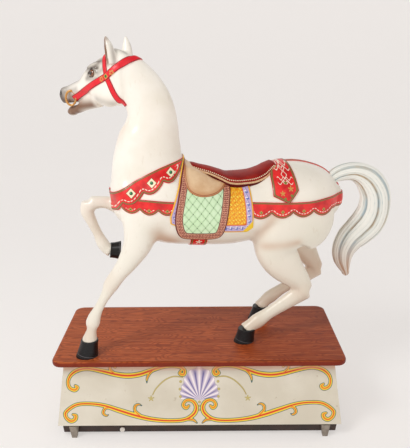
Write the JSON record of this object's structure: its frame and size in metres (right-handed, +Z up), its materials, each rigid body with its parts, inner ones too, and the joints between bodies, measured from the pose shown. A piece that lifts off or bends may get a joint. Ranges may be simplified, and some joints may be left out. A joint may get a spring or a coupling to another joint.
{
  "type": "carousel horse",
  "caption": "Carved and painted carousel horse, prancing with one foreleg raised, in saddle and bridle, on an oak-topped display plinth with leaning painted sides.",
  "frame": {"origin": "on the floor, under the middle of the whole object's box", "axes": "+Z up; the horse faces -X, its near (left) side faces -Y, which is the plinth's painted front"},
  "size_m": [1.5168, 0.585, 1.7042],
  "materials": {
    "coat": "carved wood under gloss cream paint with painted saddlery",
    "eye": "dark brown glass",
    "deck_wood": "red-brown stained oak, satin varnish",
    "panel_paint": "cream painted board, satin, painted scrolls on the front",
    "rail_wood": "dark brown painted wood",
    "foot_wood": "grey-brown worn wood",
    "cap_paint": "white cap"
  },
  "bodies": {
    "root": {"horse": "coat", "eye_left": "eye", "eye_right": "eye", "deck": "deck_wood", "plinth_panel_front": "panel_paint", "plinth_panel_right": "panel_paint", "plinth_panel_back": "panel_paint", "plinth_panel_left": "panel_paint", "plinth_rail_front": "rail_wood", "plinth_rail_right": "rail_wood", "plinth_rail_back": "rail_wood", "plinth_rail_left": "rail_wood", "foot_front_left": "foot_wood", "foot_front_right": "foot_wood", "foot_back_left": "foot_wood", "foot_back_right": "foot_wood", "rail_cap": "cap_paint"}
  },
  "joints": []
}
